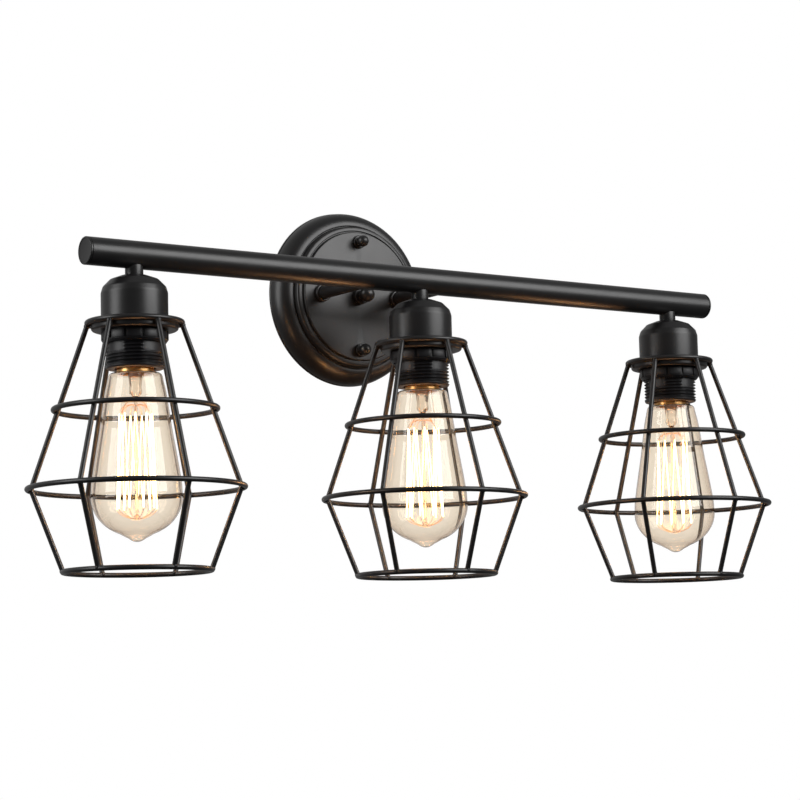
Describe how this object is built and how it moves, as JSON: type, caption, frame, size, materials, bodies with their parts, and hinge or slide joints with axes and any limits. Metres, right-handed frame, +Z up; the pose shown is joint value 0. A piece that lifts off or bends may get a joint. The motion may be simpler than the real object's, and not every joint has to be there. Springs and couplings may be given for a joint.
{
  "type": "vanity light bar",
  "caption": "Wall light bar: a round canopy and paired arms hold a straight tube, with caged filament-bulb lamps hanging below it.",
  "frame": {"origin": "on the wall, at the middle of the canopy", "axes": "+Z up, +X along the bar to the right as seen from the room, +Y into the wall, so the lamps stand out towards -Y"},
  "size_m": [0.6448, 0.1824, 0.2927],
  "materials": {
    "black_paint": "satin black paint on steel",
    "bakelite": "black moulded lampholder, semi-matte",
    "brass": "bright brass",
    "bulb_glass": "clear glass with a warm tint",
    "stem_glass": "clear pressed glass",
    "filament": "glowing filament",
    "zinc": "zinc plated",
    "insulator": "glossy black insulator",
    "sleeve": "woven glass-fibre sleeve",
    "green_screw": "green earth screw",
    "connector": "orange twist-on connector"
  },
  "bodies": {
    "fixture": {"bar_tube": "black_paint", "bar_end_cap_left": "black_paint", "bar_end_cap_right": "black_paint", "canopy": "black_paint", "arm_left": "black_paint", "arm_right": "black_paint", "arm_collar_left": "black_paint", "arm_collar_right": "black_paint", "mounting_crossbar": "zinc", "canopy_stud_top": "zinc", "canopy_stud_bottom": "zinc", "centre_rod": "zinc", "arm_nut_left": "zinc", "arm_nut_right": "zinc", "ground_screw": "green_screw", "wire_connector_hot": "connector", "wire_connector_neutral": "connector", "lamp_lead_1": "sleeve", "lamp_stem_1": "black_paint", "socket_cup_1": "black_paint", "socket_body_1": "bakelite", "screw_shell_1": "brass", "contact_tab_1": "brass", "lamp_lead_2": "sleeve", "lamp_stem_2": "black_paint", "socket_cup_2": "black_paint", "socket_body_2": "bakelite", "screw_shell_2": "brass", "contact_tab_2": "brass", "lamp_lead_3": "sleeve", "lamp_stem_3": "black_paint", "socket_cup_3": "black_paint", "socket_body_3": "bakelite", "screw_shell_3": "brass", "contact_tab_3": "brass"},
    "ball_nut_top": {"ball_nut_top": "black_paint"},
    "ball_nut_bottom": {"ball_nut_bottom": "black_paint"},
    "centre_finial": {"centre_finial": "black_paint"},
    "bulb_contact_1": {"bulb_insulator_1": "insulator"},
    "bulb_1": {"bulb_glass_1": "bulb_glass", "bulb_base_1": "brass", "bulb_mount_1": "stem_glass", "filament_1": "filament"},
    "cage_1": {"wire_cage_1": "black_paint"},
    "ring_nut_1": {"ring_nut_1": "bakelite"},
    "bulb_contact_2": {"bulb_insulator_2": "insulator"},
    "bulb_2": {"bulb_glass_2": "bulb_glass", "bulb_base_2": "brass", "bulb_mount_2": "stem_glass", "filament_2": "filament"},
    "cage_2": {"wire_cage_2": "black_paint"},
    "ring_nut_2": {"ring_nut_2": "bakelite"},
    "bulb_contact_3": {"bulb_insulator_3": "insulator"},
    "bulb_3": {"bulb_glass_3": "bulb_glass", "bulb_base_3": "brass", "bulb_mount_3": "stem_glass", "filament_3": "filament"},
    "cage_3": {"wire_cage_3": "black_paint"},
    "ring_nut_3": {"ring_nut_3": "bakelite"}
  },
  "joints": [
    {"name": "ball_nut_top_off", "type": "slide", "parent": "fixture", "child": "ball_nut_top", "axis": [0, -1, 0], "range_m": [0, 0.006]},
    {"name": "ball_nut_bottom_off", "type": "slide", "parent": "fixture", "child": "ball_nut_bottom", "axis": [0, -1, 0], "range_m": [0, 0.006]},
    {"name": "centre_finial_off", "type": "slide", "parent": "fixture", "child": "centre_finial", "axis": [0, -1, 0], "range_m": [0, 0.006]},
    {"name": "bulb_1_travel", "type": "slide", "parent": "fixture", "child": "bulb_contact_1", "axis": [0, 0, -1], "range_m": [0, 0.0202]},
    {"name": "bulb_1_turn", "type": "hinge", "parent": "bulb_contact_1", "child": "bulb_1", "pos_m": [-0.245, -0.105, -0.084], "axis": [0, 0, -1], "range_deg": [0, 1980]},
    {"name": "cage_1_drop", "type": "slide", "parent": "fixture", "child": "cage_1", "axis": [0, 0, -1], "range_m": [0, 0.0177]},
    {"name": "ring_nut_1_turn", "type": "hinge", "parent": "cage_1", "child": "ring_nut_1", "pos_m": [-0.245, -0.105, -0.0588], "axis": [0, 0, -1], "range_deg": [0, 2520]},
    {"name": "bulb_2_travel", "type": "slide", "parent": "fixture", "child": "bulb_contact_2", "axis": [0, 0, -1], "range_m": [0, 0.0202]},
    {"name": "bulb_2_turn", "type": "hinge", "parent": "bulb_contact_2", "child": "bulb_2", "pos_m": [0, -0.105, -0.084], "axis": [0, 0, -1], "range_deg": [0, 1980]},
    {"name": "cage_2_drop", "type": "slide", "parent": "fixture", "child": "cage_2", "axis": [0, 0, -1], "range_m": [0, 0.0177]},
    {"name": "ring_nut_2_turn", "type": "hinge", "parent": "cage_2", "child": "ring_nut_2", "pos_m": [0, -0.105, -0.0588], "axis": [0, 0, -1], "range_deg": [0, 2520]},
    {"name": "bulb_3_travel", "type": "slide", "parent": "fixture", "child": "bulb_contact_3", "axis": [0, 0, -1], "range_m": [0, 0.0202]},
    {"name": "bulb_3_turn", "type": "hinge", "parent": "bulb_contact_3", "child": "bulb_3", "pos_m": [0.245, -0.105, -0.084], "axis": [0, 0, -1], "range_deg": [0, 1980]},
    {"name": "cage_3_drop", "type": "slide", "parent": "fixture", "child": "cage_3", "axis": [0, 0, -1], "range_m": [0, 0.0177]},
    {"name": "ring_nut_3_turn", "type": "hinge", "parent": "cage_3", "child": "ring_nut_3", "pos_m": [0.245, -0.105, -0.0588], "axis": [0, 0, -1], "range_deg": [0, 2520]}
  ],
  "couplings": [
    {"joint": "bulb_1_travel", "follows": "bulb_1_turn", "m_per_rad": 0.00057757},
    {"joint": "cage_1_drop", "follows": "ring_nut_1_turn", "m_per_rad": 0.00039789},
    {"joint": "bulb_2_travel", "follows": "bulb_2_turn", "m_per_rad": 0.00057757},
    {"joint": "cage_2_drop", "follows": "ring_nut_2_turn", "m_per_rad": 0.00039789},
    {"joint": "bulb_3_travel", "follows": "bulb_3_turn", "m_per_rad": 0.00057757},
    {"joint": "cage_3_drop", "follows": "ring_nut_3_turn", "m_per_rad": 0.00039789}
  ]
}
